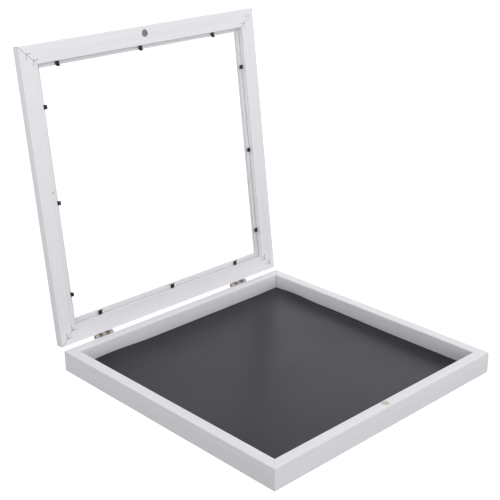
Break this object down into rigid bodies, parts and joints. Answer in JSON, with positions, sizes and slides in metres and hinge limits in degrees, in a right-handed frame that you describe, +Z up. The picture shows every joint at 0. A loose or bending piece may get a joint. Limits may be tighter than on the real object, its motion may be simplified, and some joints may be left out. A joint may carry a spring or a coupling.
{
  "type": "butterfly display case",
  "caption": "Shallow square display case for pinned butterflies: a white mitred wood box lined in black, with a glazed frame lid that swings on butt hinges and shuts on magnets.",
  "frame": {"origin": "centre of the underside of the base", "axes": "+X along the hinge edge, to the right as seen from the magnet side; +Y towards the hinge side; +Z up"},
  "size_m": [0.4, 0.4621, 0.43],
  "materials": {
    "white_wood": "satin white paint on wood",
    "hardboard": "bare brown hardboard",
    "foam": "pale closed-cell foam",
    "black_sheet": "satin black sheet",
    "glass": "clear polished glass",
    "black_steel": "black oxide steel",
    "hinge_steel": "dull bronzed steel",
    "nail_steel": "bare steel, browned",
    "staple_steel": "zinc-plated wire",
    "magnet_nickel": "dull nickel plating",
    "magnet_smudged": "nickel plating under a thin smear of white paint"
  },
  "bodies": {
    "base": {"base_rail_front": "white_wood", "base_rail_right": "white_wood", "base_rail_back": "white_wood", "base_rail_left": "white_wood", "base_corner_nails": "nail_steel", "back_panel": "hardboard", "back_panel_staples": "staple_steel", "pinning_foam": "foam", "liner_sheet": "black_sheet", "base_magnet": "magnet_smudged", "hinge_left_base_leaf": "hinge_steel", "hinge_right_base_leaf": "hinge_steel", "hinge_left_pin": "hinge_steel", "hinge_right_pin": "hinge_steel", "base_hinge_screws": "hinge_steel"},
    "lid": {"lid_rail_front": "white_wood", "lid_rail_right": "white_wood", "lid_rail_back": "white_wood", "lid_rail_left": "white_wood", "lid_corner_nails": "nail_steel", "glazing": "glass", "glazing_points_front": "black_steel", "glazing_points_right": "black_steel", "glazing_points_back": "black_steel", "glazing_points_left": "black_steel", "lid_magnet": "magnet_nickel", "hinge_left_lid_leaf": "hinge_steel", "hinge_right_lid_leaf": "hinge_steel", "lid_hinge_screws": "hinge_steel"}
  },
  "joints": [
    {"name": "lid_hinge", "type": "hinge", "parent": "base", "child": "lid", "pos_m": [0, 0.203, 0.02975], "axis": [1, 0, 0], "range_deg": [0, 96.56]}
  ]
}
